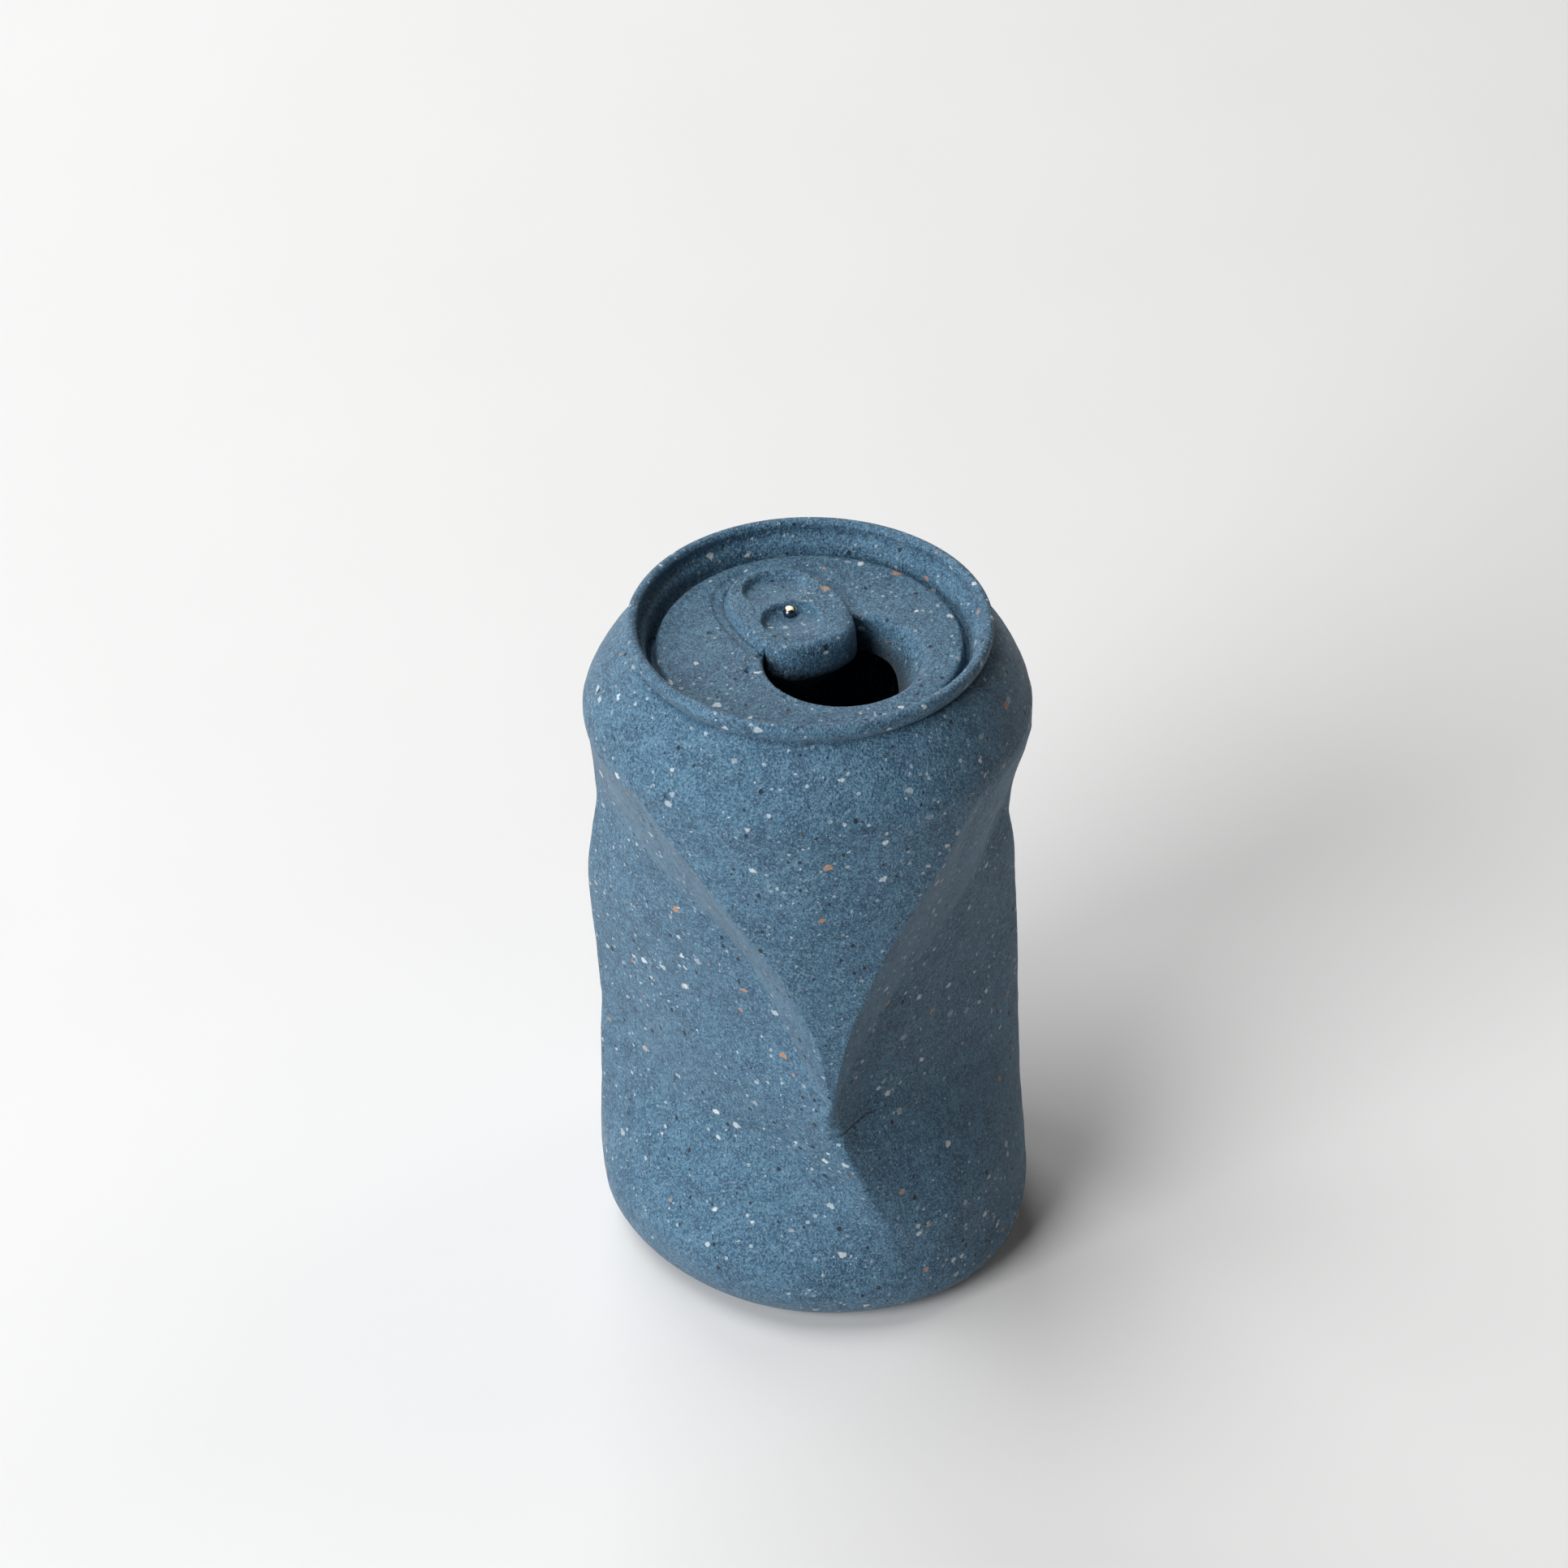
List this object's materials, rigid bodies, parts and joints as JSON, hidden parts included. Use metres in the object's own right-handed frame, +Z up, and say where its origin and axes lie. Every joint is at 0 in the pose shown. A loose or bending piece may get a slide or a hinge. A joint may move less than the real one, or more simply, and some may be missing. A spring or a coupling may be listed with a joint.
{
  "type": "crushed drink can cast in speckled composite",
  "caption": "Full-size hollow cast copy of a crushed drink can, with an open mouth, a raised tab and a small pin; stands on a flat base.",
  "frame": {"origin": "middle of the flat base that the can stands on", "axes": "+Z up along the can; -Y is the front, where the folded wall comes down to its point below the mouth"},
  "size_m": [0.0676, 0.0667, 0.111],
  "materials": {
    "speckled_composite": "matt cast composite, blue, with white, ochre and black specks and small air pits",
    "brass": "polished"
  },
  "bodies": {
    "root": {"can_body": "speckled_composite", "brass_pin": "brass"}
  },
  "joints": []
}
